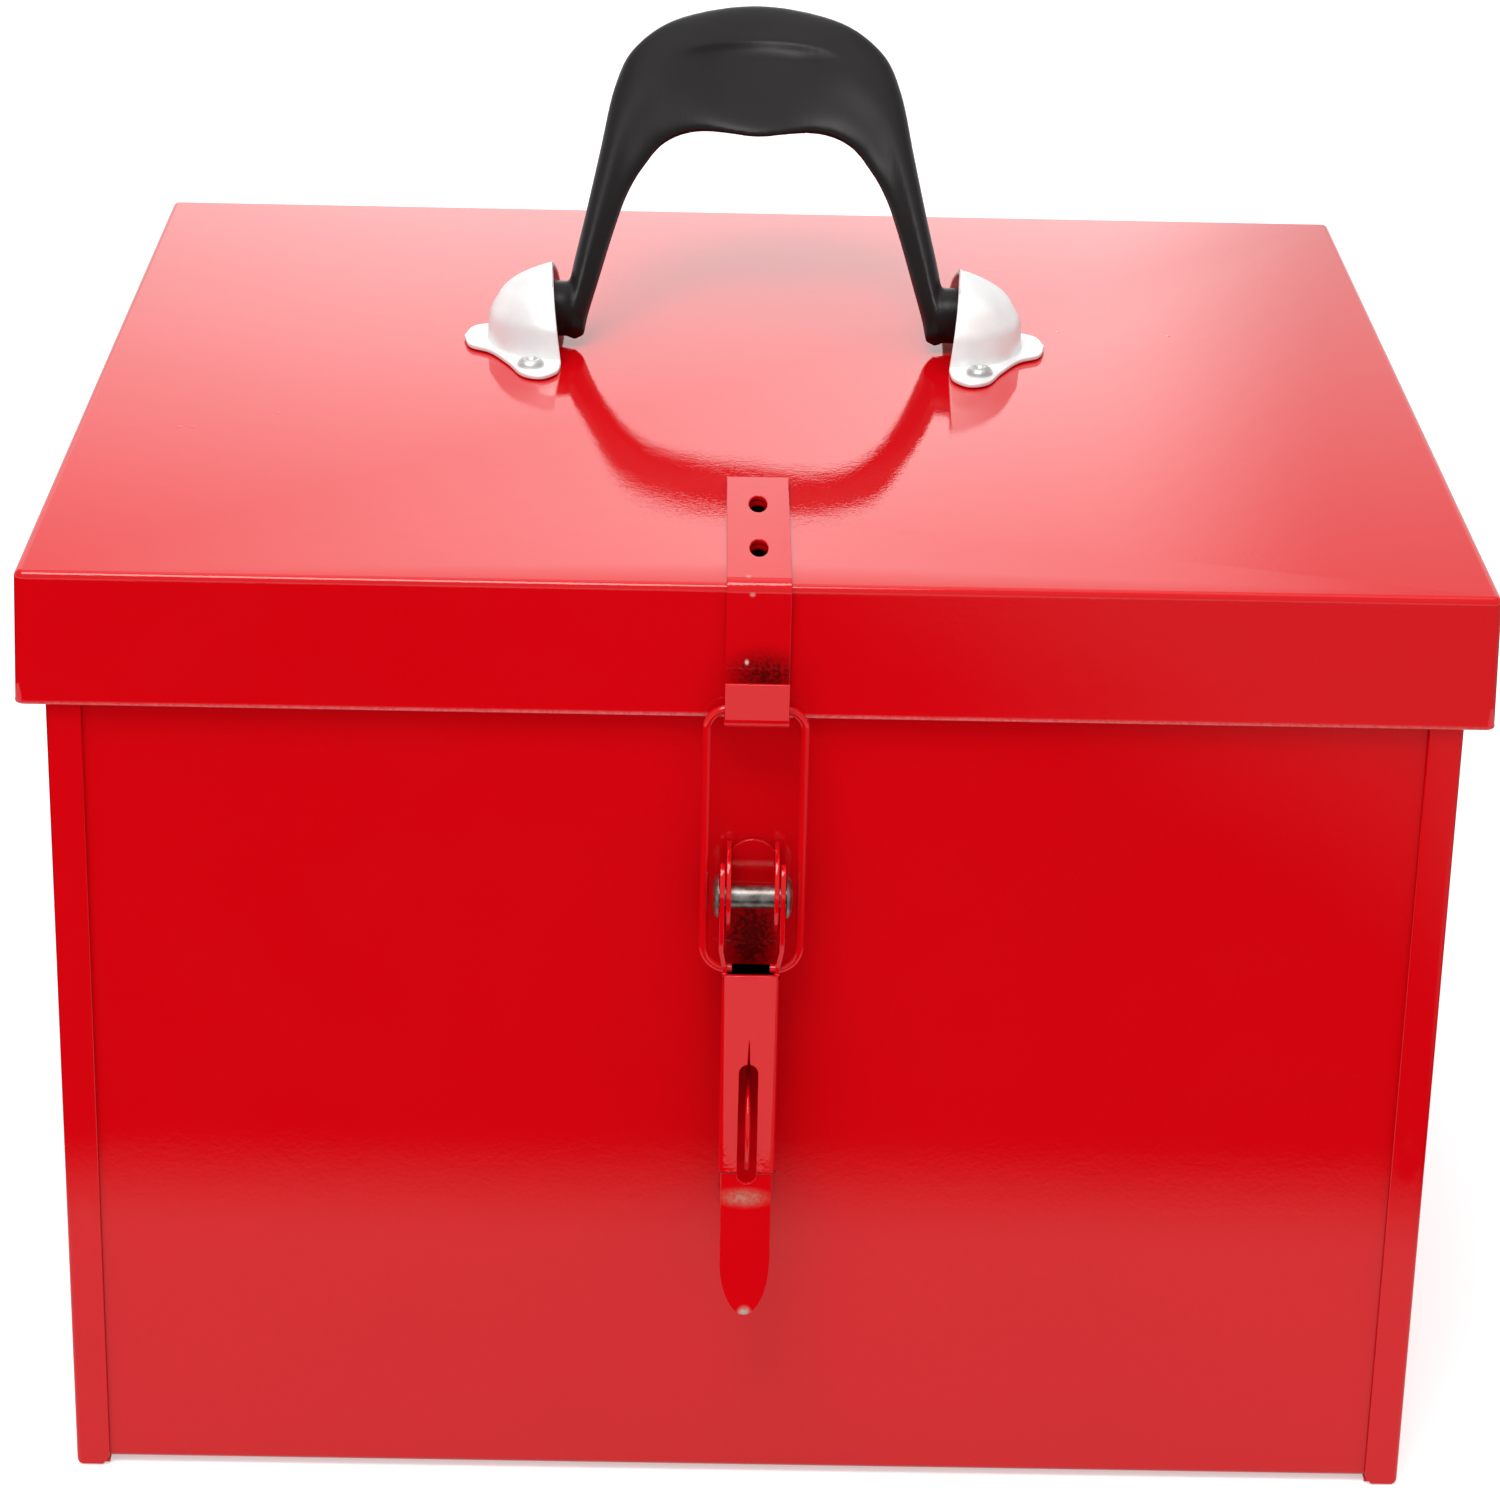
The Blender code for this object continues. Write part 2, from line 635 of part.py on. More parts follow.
def lever_wall(side):
    """One side of the lever: a wall that steps outwards into an ear round the pin."""
    narrow = (LEVER_HALF - LEVER_SHEET, LEVER_HALF)
    wide = (LEVER_EAR_HALF - LEVER_SHEET, LEVER_EAR_HALF)
    foot = WEB_BOTTOM + 6
    rows = [(WEB_BOTTOM, narrow, (web_out(WEB_BOTTOM) - 2.8, web_out(WEB_BOTTOM) - 0.2)),
            (foot, narrow, (4.2, web_out(foot) - 0.2)),
            (WEB_TOP - 1, narrow, (4.2, web_out(WEB_TOP - 1) - 0.2)),
            (WEB_TOP + 2.5, narrow, (4.2, LEVER_OUT - 1.0)),
            (WEB_TOP + 6.5, wide, (4.3, 12.6))]
    for i in range(8):
        a = radians(88 * i / 7)
        rows.append((PIN_Z + LEVER_EAR_TOP * sin(a), wide,
                     (PIN_OUT - 4.8 * cos(a), PIN_OUT + 4.8 * cos(a))))
    rings = []
    for z, (x0, x1), (p0, p1) in rows:
        rings.append([(side * x0, ahead(p0), z), (side * x1, ahead(p0), z),
                      (side * x1, ahead(p1), z), (side * x0, ahead(p1), z)])
    return loft(rings)


def make_latch_lever(lever_pivot):
    heights = [WEB_TOP, WEB_BOTTOM + 3.0, WEB_BOTTOM]
    heights += [WEB_BOTTOM - 4.0 * i for i in range(1, 5)]
    shoulder = TONGUE_TIP + TONGUE_ROUND
    heights += [shoulder - TONGUE_ROUND * sin(radians(a)) for a in (0, 20, 40, 58, 74, 86)]
    rings = []
    for z in heights:
        half = LEVER_HALF - 0.15 if z > WEB_BOTTOM else TONGUE_HALF
        if z < shoulder:
            half = TONGUE_HALF * sqrt(max(0.0, 1 - ((shoulder - z) / TONGUE_ROUND) ** 2))
        out = web_out(z)
        rings.append([(-half, ahead(out - LEVER_SHEET), z), (half, ahead(out - LEVER_SHEET), z),
                      (half, ahead(out), z), (-half, ahead(out), z)])
    lever = joined(loft(rings), lever_wall(-1), lever_wall(1))
    low, high = SLOT_Z
    slot = arc((0, high - SLOT_HALF), SLOT_HALF, 0, 180, 8)
    slot += arc((0, low + SLOT_HALF), SLOT_HALF, 180, 360, 8)
    lever = cut(lever, along_y(slot, ahead(LEVER_OUT + 8), ahead(LEVER_OUT - 4)),
                rod(PIN_R + GAP, -12, 12, (0, ahead(PIN_OUT), PIN_Z), "X", 16),
                rod(BAIL_WIRE_R + GAP, -12, 12, (0, ahead(BAIL_PIVOT_OUT), BAIL_PIVOT_Z),
                    "X", 12))
    add_part("latch_lever", lever, "red_paint", lever_pivot)


def make_latch_bail(bail_pivot):
    """A wire loop whose two ends turn in through the lever's walls."""
    low, high = BAIL_PIVOT_Z, BAIL_BAR_Z
    corners = [(-BAIL_END, low), (-BAIL_HALF, low), (-BAIL_HALF, high),
               (BAIL_HALF, high), (BAIL_HALF, low), (BAIL_END, low)]
    r_low, r_high = BAIL_CORNERS
    route = rounded(corners, (r_low, r_high, r_high, r_low), 5)
    lean = (BAIL_BAR_OUT - BAIL_PIVOT_OUT) / (high - low)
    rings = []
    across = Vector((0, lean, 1)).cross(Vector((1, 0, 0))).normalized()
    for i, p in enumerate(route):
        before = route[max(i - 1, 0)]
        after = route[min(i + 1, len(route) - 1)]
        along = (after - before).normalized()
        flat = Vector((-along.y, -lean * along.x, along.x)).normalized()
        middle = Vector((p.x, ahead(BAIL_PIVOT_OUT + lean * (p.y - low)), p.y))
        ring = []
        for k in range(8):
            a = 2 * pi * (k + 0.5) / 8
            ring.append(middle + BAIL_WIRE_R * (flat * cos(a) + across * sin(a)))
        rings.append(ring)
    add_part("latch_bail", loft(rings), "red_paint", bail_pivot, 60.0)


def strap_slots():
    """Outlines of the two oval openings through the strap and the lid below it."""
    wide, long = STRAP_SLOT
    turns = [2 * pi * i / 20 for i in range(20)]
    return [[(wide * cos(a), y + long * sin(a)) for a in turns] for y in STRAP_SLOTS_Y]


def make_catch_strap(lid_pivot):
    half = STRAP_SHEET / 2
    face = LID_Y - LID_DEPTH / 2 - GAP - half
    top = LID_TOP + GAP + half
    lip = face - HOOK_WIDTH - STRAP_SHEET
    floor = HOOK_BOTTOM + half
    over = LID_BEND + GAP + half
    line = rounded([(STRAP_END_Y, top), (face, top), (face, floor), (lip, floor),
                    (lip + HOOK_LEAN, HOOK_TOP)], (over, 1.8, 1.8), 4)
    strap = along_x(thickened(line, STRAP_SHEET), -STRAP_HALF, STRAP_HALF)
    for slot in strap_slots():
        strap = cut(strap, along_z(slot, top - 3, top + 3))
    add_part("catch_strap", strap, "red_paint", lid_pivot)


def main():
    clear_scene()
    lid_pivot = pivot("lid_hinge_axis", (0, HINGE_Y, HINGE_Z))
    handle_pivot = pivot("handle_axis", (0, HANDLE_Y, LID_TOP + PIVOT_UP), lid_pivot)
    lever_pivot = pivot("lever_axis", (0, ahead(PIN_OUT), PIN_Z))
    bail_pivot = pivot("bail_axis", (0, ahead(BAIL_PIVOT_OUT), BAIL_PIVOT_Z), lever_pivot)
    make_body_shell()
    make_end_panel("end_panel_left", -1)
    make_end_panel("end_panel_right", 1)
    make_hinge(lid_pivot)
    make_lid_pan(lid_pivot)
    make_bracket("bracket_left", -1, lid_pivot)
    make_bracket("bracket_right", 1, lid_pivot)
    make_rivets(lid_pivot)
    make_handle(handle_pivot)
    make_latch_base()
    make_padlock_staple()
    make_latch_pin()
    make_latch_lever(lever_pivot)
    make_latch_bail(bail_pivot)
    make_catch_strap(lid_pivot)


main()
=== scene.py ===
from math import cos, pi, radians, sin

import bmesh
import bpy
from mathutils import Matrix, Vector


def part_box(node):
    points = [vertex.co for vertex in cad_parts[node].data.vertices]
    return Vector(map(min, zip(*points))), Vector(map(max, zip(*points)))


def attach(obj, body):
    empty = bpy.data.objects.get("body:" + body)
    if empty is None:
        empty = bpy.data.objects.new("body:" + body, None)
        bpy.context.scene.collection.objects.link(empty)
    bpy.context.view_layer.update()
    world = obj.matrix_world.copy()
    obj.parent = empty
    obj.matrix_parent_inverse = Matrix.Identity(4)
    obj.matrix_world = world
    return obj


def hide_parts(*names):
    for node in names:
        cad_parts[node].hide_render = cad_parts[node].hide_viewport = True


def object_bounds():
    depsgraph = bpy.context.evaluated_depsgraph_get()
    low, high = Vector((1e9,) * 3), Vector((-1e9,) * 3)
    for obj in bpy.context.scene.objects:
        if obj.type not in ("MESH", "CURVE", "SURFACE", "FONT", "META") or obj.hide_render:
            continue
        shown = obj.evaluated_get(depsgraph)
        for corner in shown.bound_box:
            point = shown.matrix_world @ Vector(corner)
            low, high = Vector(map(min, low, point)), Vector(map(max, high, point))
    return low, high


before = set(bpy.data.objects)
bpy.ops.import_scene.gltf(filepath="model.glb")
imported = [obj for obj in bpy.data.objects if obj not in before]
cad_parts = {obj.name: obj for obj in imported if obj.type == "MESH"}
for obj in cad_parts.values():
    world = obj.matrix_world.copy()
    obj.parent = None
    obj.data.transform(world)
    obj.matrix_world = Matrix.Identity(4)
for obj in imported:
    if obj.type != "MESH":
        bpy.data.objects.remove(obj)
cad_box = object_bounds()
MM = 0.001

# Camera: place in metres, turn (yaw, pitch, roll) in degrees
CAMERA_PLACE = (-0.01517, -1.12685, 0.59971)
CAMERA_TURN = (0.818, 22.365, 1.340)
CAMERA_LENS = 105.545
LIGHT_TARGET = (0, 0, 0.1)

# Sizes and places below are in millimetres. In the latch, OUT and the first value of BAIL_LOW
# and BAIL_HIGH are distances ahead of the body's front sheet.
LID_Y = 5.1                         # middle of the lid, front to back
LID_TOP = 243.0
LID_HALF = (175.0, 163.6)
LID_SHEET = 1.0
LID_BEND = 1.6                      # outer radius of the fold round the top
SKIRT = 33.6
SKIRT_SPLAY = 0.95                  # the side skirts stand out by this much at their edge
SKIRT_LIP = 0.9                     # radius of the skirt's rounded lower edge
SLOTS_Y = (LID_Y - 109.7, LID_Y - 141.6)
SLOT = (2.25, 6.2)                  # half width, half length
HANDLE_Y = LID_Y + 27.0
PIVOT_UP = 9.5
BRACKET_X = 52.4
BRACKET_SHEET = 1.2
DOME_OUT, DOME_HALF, DOME_HEIGHT, DOME_LEAN = 19.4, 21.4, 22.8, 3.0
RIVET = (7.9, 26.8)                 # from the bracket's inner face and the handle's axis
GAP = 0.3                           # air between neighbouring sheets
BODY_FRONT = LID_Y - 160.5
PIN_Z = 165.6
PIN_OUT = 9.0
WEB_TOP, WEB_BOTTOM, TONGUE_TIP = 145.6, 94.8, 56.8
LEVER_OUT, WEB_LEAN, TONGUE_BEND = 11.4, 5.2, 2.7
LEVER_HALF, LEVER_EAR_HALF, LEVER_SHEET = 6.95, 7.9, 1.2
WALL_OUT = 4.2                      # back edge of the lever's side walls
EAR_ROUND, EAR_TOP = 4.8, 8.4       # half width and height of the rounded ear above the pin
TONGUE_HALF, TONGUE_ROUND = 6.2, 14.0
LEVER_SLOT = (2.3, 92.0, 122.9)     # half width, bottom, top
STAPLE_Z, STAPLE_HALF, STAPLE_OUT, STAPLE_BAR = 104.0, 13.5, 19.5, 2.4
BAIL_LOW, BAIL_HIGH = (8.5, 146.4), (6.05, 212.7)
BAIL_HALF, BAIL_END, BAIL_WIRE_R = 11.65, 4.6, 1.1
BAIL_BENDS = (6.0, 4.8, 4.8, 6.0)   # radii, from the wire's left end to its right end

# Bump of the enamel, in metres from low to high
PEEL, SWELL, SAG, DUST = 0.000014, 0.000018, 0.00014, 0.00007

# Half a bracket's foot, from its front inner corner to its outermost point: (out, along)
FOOT_OUTLINE = ((0.0, -26.0), (0.9, -31.5), (4.8, -36.0), (10.0, -33.5), (14.0, -24.0),
                (19.4, -13.5), (25.2, -8.5), (27.2, 0.0))
# Half the handle, from its right end to its middle: (outer edge, inner edge, thickness),
# with each edge's x, y and z from the lid's top under the handle's axis
HANDLE_STATIONS = (((51.4, -5.6, 4.0), (46.6, -5.6, 4.0), 7.0),
                   ((52.0, -1.4, 8.4), (45.8, -1.6, 8.0), 13.5),
                   ((50.4, 5.0, 18.6), (43.1, 3.8, 16.2), 11.0),
                   ((47.2, 17.2, 30.8), (39.0, 14.5, 28.2), 9.0),
                   ((43.6, 34.2, 44.8), (35.6, 22.8, 36.2), 9.0),
                   ((40.0, 52.0, 58.6), (31.4, 28.8, 42.2), 9.2),
                   ((34.6, 63.0, 67.2), (25.2, 35.6, 47.6), 9.6),
                   ((22.0, 73.0, 73.4), (15.5, 38.6, 50.0), 10.0),
                   ((0.0, 80.6, 75.4), (0.0, 36.4, 49.2), 10.0))
HANDLE_STEPS, HANDLE_SIDES = 12, 64


# ---------------------------------------------------------------- camera and studio

def make_camera():
    data = bpy.data.cameras.new("camera")
    data.sensor_width = 36.0
    data.lens = CAMERA_LENS
    data.clip_start = 0.05
    data.clip_end = 60.0
    camera = bpy.data.objects.new("camera", data)
    bpy.context.collection.objects.link(camera)
    yaw, pitch, roll = (radians(angle) for angle in CAMERA_TURN)
    turn = Matrix.Rotation(-yaw, 4, "Z") @ Matrix.Rotation(pi / 2 - pitch, 4, "X")
    turn = turn @ Matrix.Rotation(roll, 4, "Z")
    camera.matrix_world = Matrix.Translation(CAMERA_PLACE) @ turn
    bpy.context.scene.camera = camera


def area_light(name, place, size, power):
    data = bpy.data.lights.new(name, "AREA")
    data.shape = "RECTANGLE"
    data.size, data.size_y = size
    data.energy = power
    light = bpy.data.objects.new(name, data)
    light.location = place
    aim = Vector(LIGHT_TARGET) - Vector(place)
    light.rotation_euler = aim.to_track_quat("-Z", "Y").to_euler()
    bpy.context.collection.objects.link(light)


class Nodes:
    """Short way of writing a node tree."""

    def __init__(self, tree):
        self.tree = tree

    def add(self, kind, inputs=None, **settings):
        node = self.tree.nodes.new(kind)
        for key, value in settings.items():
            setattr(node, key, value)
        for key, value in (inputs or {}).items():
            if isinstance(value, bpy.types.NodeSocket):
                self.tree.links.new(value, node.inputs[key])
            else:
                node.inputs[key].default_value = value
        return node

    def math(self, operation, a, b=0.0, clamp=False):
        node = self.add("ShaderNodeMath", {0: a, 1: b}, operation=operation, use_clamp=clamp)
        return node.outputs[0]

    def ramp(self, value, low, high, to_low=0.0, to_high=1.0, shape="SMOOTHSTEP"):
        node = self.add("ShaderNodeMapRange", {0: value, 1: low, 2: high, 3: to_low, 4: to_high},
                        interpolation_type=shape)
        return node.outputs[0]

    def mix(self, factor, a, b):
        node = self.add("ShaderNodeMix", {0: factor, 6: a, 7: b}, data_type="RGBA")
        return node.outputs[2]

    def blend(self, factor, a, b):
        node = self.add("ShaderNodeMix", {0: factor, 2: a, 3: b}, data_type="FLOAT")
        return node.outputs[0]

    def noise(self, where, scale, detail=2.0, roughness=0.5):
        node = self.add("ShaderNodeTexNoise", {"Vector": where, "Scale": scale,
                                               "Detail": detail, "Roughness": roughness})
        return node.outputs[0]

    def axes(self, where):
        return self.add("ShaderNodeSeparateXYZ", {0: where}).outputs

    def link(self, value, socket):
        self.tree.links.new(value, socket)


def make_world():
    """White to the camera. Glossy surfaces see a bright wall behind the box instead, dimmer
    to its sides and upwards, and the rest of the light is a soft grey dome.
    """
    world = bpy.data.worlds.new("studio")
    bpy.context.scene.world = world
    world.use_nodes = True
    world.node_tree.nodes.clear()
    n = Nodes(world.node_tree)
    path = n.add("ShaderNodeLightPath")
    x, y, z = n.axes(n.add("ShaderNodeTexCoord").outputs["Generated"])
    behind = n.ramp(y, 0.1, 0.6)
    wall = n.ramp(z, 0.25, 0.60, 1.75, 0.8)
    side = n.math("MULTIPLY", n.ramp(x, 0.10, 0.17, 1.0, 0.5), n.ramp(x, -0.30, -0.05, 0.5, 1.0))
    glow = n.blend(behind, 0.45, n.math("MULTIPLY", wall, side))
    soft = n.ramp(z, -0.2, 0.5, 0.45, 0.8)
    strength = n.blend(path.outputs["Is Glossy Ray"], soft, glow)
    strength = n.blend(path.outputs["Is Camera Ray"], strength, 1.05)
    back = n.add("ShaderNodeBackground", {"Color": (1, 1, 1, 1), "Strength": strength})
    n.add("ShaderNodeOutputWorld", {0: back.outputs[0]})


def make_floor():
    """Plain and pale to the camera. Glossy surfaces see it bright near the box, dark in a
    ring round it, bright again far away, and a little brighter in a patch at the front right.
    """
    bm = bmesh.new()
    bmesh.ops.create_grid(bm, x_segments=1, y_segments=1, size=6.0)
    mesh = bpy.data.meshes.new("studio_floor")
    bm.to_mesh(mesh)
    bm.free()
    floor = bpy.data.objects.new("studio_floor", mesh)
    floor.location.z = cad_box[0][2] - 0.0003
    bpy.context.collection.objects.link(floor)
    mat = bpy.data.materials.new("studio_floor")
    mat.use_nodes = True
    mat.node_tree.nodes.clear()
    n = Nodes(mat.node_tree)
    x, y, _ = n.axes(n.add("ShaderNodeNewGeometry").outputs["Position"])
    half_x, half_y = 0.17, 0.165
    dx = n.math("MAXIMUM", n.math("SUBTRACT", n.math("ABSOLUTE", x), half_x), 0.0)
    dy = n.math("MAXIMUM", n.math("SUBTRACT", n.math("ABSOLUTE", y), half_y), 0.0)
    away = n.math("POWER", n.math("ADD", n.math("MULTIPLY", dx, dx),
                                  n.math("MULTIPLY", dy, dy)), 0.5)
    near = n.ramp(away, 0.11, 0.18, 0.75, 0.0)
    far = n.ramp(away, 0.86, 0.96)
    right = n.math("SUBTRACT", n.math("MULTIPLY", x, 1.9), n.math("ADD", y, 0.87))
    right = n.math("MULTIPLY", n.ramp(right, -0.02, 0.36), 0.3)
    shade = n.math("MAXIMUM", n.math("MAXIMUM", near, far), right)
    path = n.add("ShaderNodeLightPath")
    dull = n.add("ShaderNodeBsdfDiffuse", {"Color": (0.86, 0.86, 0.86, 1)})
    glow = n.add("ShaderNodeEmission", {"Color": (1, 1, 1, 1), "Strength": 0.45})
    plain = n.add("ShaderNodeAddShader", {0: dull.outputs[0], 1: glow.outputs[0]})
    plain = n.add("ShaderNodeMixShader", {0: path.outputs["Is Camera Ray"],
                                          1: dull.outputs[0], 2: plain.outputs[0]})
    seen = n.add("ShaderNodeEmission", {"Color": (1, 1, 1, 1), "Strength": shade})
    mixed = n.add("ShaderNodeMixShader", {0: path.outputs["Is Glossy Ray"],
                                          1: plain.outputs[0], 2: seen.outputs[0]})
    n.add("ShaderNodeOutputMaterial", {0: mixed.outputs[0]})
    mesh.materials.append(mat)


def make_lights():
    area_light("softbox", (0.1, 0.25, 1.9), (1.6, 1.3), 4.5)
    area_light("fill_front", (-0.35, -0.85, 1.9), (0.9, 0.9), 20.5)


# ---------------------------------------------------------------- materials

def new_material(name):
    mat = bpy.data.materials.new(name)
    mat.use_nodes = True
    return mat, Nodes(mat.node_tree), mat.node_tree.nodes["Principled BSDF"]


def spot(n, where, place, radii):
    """1 at a place, falling softly to 0 at the radii along x, y and z; all in millimetres."""
    shift = n.add("ShaderNodeVectorMath", {0: where, 1: Vector(place) * MM},
                  operation="SUBTRACT").outputs[0]
    scaled = n.add("ShaderNodeVectorMath", {0: shift, 1: [1 / (r * MM) for r in radii]},
                   operation="MULTIPLY").outputs[0]
    apart = n.add("ShaderNodeVectorMath", {0: scaled}, operation="LENGTH").outputs["Value"]
    return n.ramp(apart, 0.0, 1.0, 1.0, 0.0)


def enamel(name, marks=(), dents=(), lean=None):
    """Gloss red enamel with orange peel and dust.

    marks are (place, radii, colour, amount, roughness), dents are (place, radii, depth), and
    lean is (axis, low, high, from, to). A lean tips how a face reflects, in its bump only: the
    bump's height goes from one value to the other between two places along the axis.
    """
    mat, n, shader = new_material(name)
    where = n.add("ShaderNodeTexCoord").outputs["Object"]
    peel = n.noise(where, 1000.0, 2.0)
    swell = n.noise(where, 150.0, 2.0)
    sag = n.noise(where, 9.0, 1.0)
    specks = n.add("ShaderNodeTexVoronoi", {"Vector": where, "Scale": 55.0, "Randomness": 1.0})
    dust = n.ramp(specks.outputs["Distance"], 0.0, 0.045, 1.0, 0.0)
    patch = n.ramp(n.noise(where, 26.0, 0.0), 0.56, 0.62)
    dust = n.math("MULTIPLY", dust, patch)
    height = n.math("ADD", n.math("MULTIPLY", peel, PEEL),
                    n.math("MULTIPLY", swell, SWELL))
    height = n.math("ADD", height, n.math("MULTIPLY", sag, SAG))
    height = n.math("ADD", height, n.math("MULTIPLY", dust, DUST))
    for place, radii, depth in dents:
        dent = n.math("MULTIPLY", spot(n, where, place, radii), -depth * MM)
        height = n.math("ADD", height, dent)
    if lean:
        span = [value * MM for value in lean[1:]]
        height = n.math("ADD", height, n.ramp(n.axes(where)[lean[0]], *span, "LINEAR"))
    bump = n.add("ShaderNodeBump", {"Height": height, "Strength": 1.0, "Distance": 1.0})
    cloud = n.noise(where, 9.0, 3.0)
    tint = n.mix(cloud, (0.59, 0.0011, 0.0040, 1), (0.65, 0.0015, 0.0052, 1))
    rough = n.ramp(n.noise(where, 40.0, 2.0), 0.3, 0.7, 0.020, 0.045)
    for place, radii, colour, amount, dull in marks:
        mask = spot(n, where, place, radii)
        grain = n.ramp(n.noise(where, 1100.0, 4.0, 0.7), 0.36, 0.62, 0.45, 1.0)
        mask = n.math("MULTIPLY", n.math("MULTIPLY", mask, grain), amount, clamp=True)
        tint = n.mix(mask, tint, (*colour, 1))
        rough = n.blend(mask, rough, dull)
    n.link(tint, shader.inputs["Base Color"])
    n.link(rough, shader.inputs["Roughness"])
    n.link(bump.outputs[0], shader.inputs["Normal"])
    shader.inputs["IOR"].default_value = 1.5
    return mat


def zinc(name, shine, low, high):
    """Bright plating; shine is how metallic, low and high the brightness of its clouds."""
    mat, n, shader = new_material(name)
    where = n.add("ShaderNodeTexCoord").outputs["Object"]
    cloud = n.noise(where, 70.0, 4.0, 0.6)
    grain = n.noise(where, 900.0, 2.0)
    tint = n.mix(n.ramp(cloud, 0.3, 0.7), (low, low, low, 1), (high, high, high * 0.99, 1))
    n.link(tint, shader.inputs["Base Color"])
    n.link(n.ramp(cloud, 0.2, 0.8, 0.30, 0.48), shader.inputs["Roughness"])
    height = n.math("ADD", n.math("MULTIPLY", cloud, 0.00012),
                    n.math("MULTIPLY", grain, 0.000012))
    bump = n.add("ShaderNodeBump", {"Height": height, "Strength": 1.0, "Distance": 1.0})
    n.link(bump.outputs[0], shader.inputs["Normal"])
    shader.inputs["Metallic"].default_value = shine
    return mat


def steel():
    mat, n, shader = new_material("steel")
    where = n.add("ShaderNodeTexCoord").outputs["Object"]
    cloud = n.noise(where, 400.0, 3.0, 0.6)
    tint = n.mix(n.ramp(cloud, 0.3, 0.7), (0.20, 0.17, 0.15, 1), (0.42, 0.40, 0.37, 1))
    n.link(tint, shader.inputs["Base Color"])
    n.link(n.ramp(cloud, 0.2, 0.8, 0.32, 0.5), shader.inputs["Roughness"])
    shader.inputs["Metallic"].default_value = 1.0
    return mat


def plastic():
    mat, n, shader = new_material("plastic")
    where = n.add("ShaderNodeTexCoord").outputs["Object"]
    flow = n.add("ShaderNodeMapping", {"Vector": where, "Scale": (700.0, 60.0, 60.0)})
    ribs = n.noise(flow.outputs[0], 1.0, 2.0)
    grain = n.noise(where, 1500.0, 2.0)
    cloud = n.noise(where, 30.0, 3.0)
    tint = n.mix(cloud, (0.0075, 0.0062, 0.0066, 1), (0.012, 0.0095, 0.0100, 1))
    n.link(tint, shader.inputs["Base Color"])
    n.link(n.ramp(n.noise(where, 55.0, 3.0), 0.3, 0.7, 0.34, 0.44), shader.inputs["Roughness"])
    shader.inputs["Specular IOR Level"].default_value = 0.20
    height = n.math("ADD", n.math("MULTIPLY", ribs, 0.00004),
                    n.math("MULTIPLY", grain, 0.000010))
    bump = n.add("ShaderNodeBump", {"Height": height, "Strength": 1.0, "Distance": 1.0})
    n.link(bump.outputs[0], shader.inputs["Normal"])
    return mat


# ---------------------------------------------------------------- shapes

def arc(centre, radius, start, end, steps):
    angles = [radians(start + (end - start) * i / steps) for i in range(steps + 1)]
    return [(centre[0] + radius * cos(a), centre[1] + radius * sin(a)) for a in angles]


def spline(points, steps):
    """A smooth open curve through the points (Catmull-Rom)."""
    pts = [Vector(p) for p in points]
    pts = [2 * pts[0] - pts[1]] + pts + [2 * pts[-1] - pts[-2]]
    curve = []
    for a, b, c, d in zip(pts, pts[1:], pts[2:], pts[3:]):
        for i in range(steps):
            t = i / steps
            curve.append(0.5 * (2 * b + (c - a) * t + (2 * a - 5 * b + 4 * c - d) * t * t
                                + (3 * b - a - 3 * c + d) * t ** 3))
    return curve + [pts[-2]]


def smoothstep(low, high, value):
    t = min(1.0, max(0.0, (value - low) / (high - low)))
    return t * t * (3 - 2 * t)


def loft(bm, rings):
    """A closed skin through rings of points, capped at both ends."""
    rows = [[bm.verts.new(p) for p in ring] for ring in rings]
    for a, b in zip(rows, rows[1:]):
        for i in range(len(a)):
            j = (i + 1) % len(a)
            bm.faces.new((a[i], a[j], b[j], b[i]))
    bm.faces.new(rows[0][::-1])
    bm.faces.new(rows[-1])


def turned(bm, profile, place, axis="Z", steps=40):
    """A solid of revolution: (radius, height) pairs from axis to axis."""
    turn = Matrix.Rotation(pi / 2, 3, "Y") if axis == "X" else Matrix.Identity(3)
    place = Vector(place)
    ends = [bm.verts.new(turn @ Vector((0, 0, profile[k][1])) + place) for k in (0, -1)]
    rows = []
    for r, h in profile[1:-1]:
        angles = [2 * pi * i / steps for i in range(steps)]
        rows.append([bm.verts.new(turn @ Vector((r * cos(a), r * sin(a), h)) + place)
                     for a in angles])
    for i in range(steps):
        j = (i + 1) % steps
        bm.faces.new((ends[0], rows[0][j], rows[0][i]))
        bm.faces.new((ends[1], rows[-1][i], rows[-1][j]))
        for a, b in zip(rows, rows[1:]):
            bm.faces.new((a[i], a[j], b[j], b[i]))


def prism(bm, outline, low, high, to_xyz):
    """A flat outline extruded from low to high; to_xyz places a point at a height."""
    rings = [[to_xyz(p[0], p[1], w) for p in outline] for w in (low, high)]
    loft(bm, rings)


def combined(first, second, operation):
    """first with second added or cut away, as one bmesh."""
    objects = []
    for bm in (first, second):
        bmesh.ops.recalc_face_normals(bm, faces=bm.faces)
        mesh = bpy.data.meshes.new("work")
        bm.to_mesh(mesh)
        bm.free()
        obj = bpy.data.objects.new("work", mesh)
        bpy.context.collection.objects.link(obj)
        objects.append(obj)
    modifier = objects[0].modifiers.new("combine", "BOOLEAN")
    modifier.operation = operation
    modifier.object = objects[1]
    result = bmesh.new()
    result.from_object(objects[0], bpy.context.evaluated_depsgraph_get())
    for obj in objects:
        mesh = obj.data
        bpy.data.objects.remove(obj)
        bpy.data.meshes.remove(mesh)
    return result


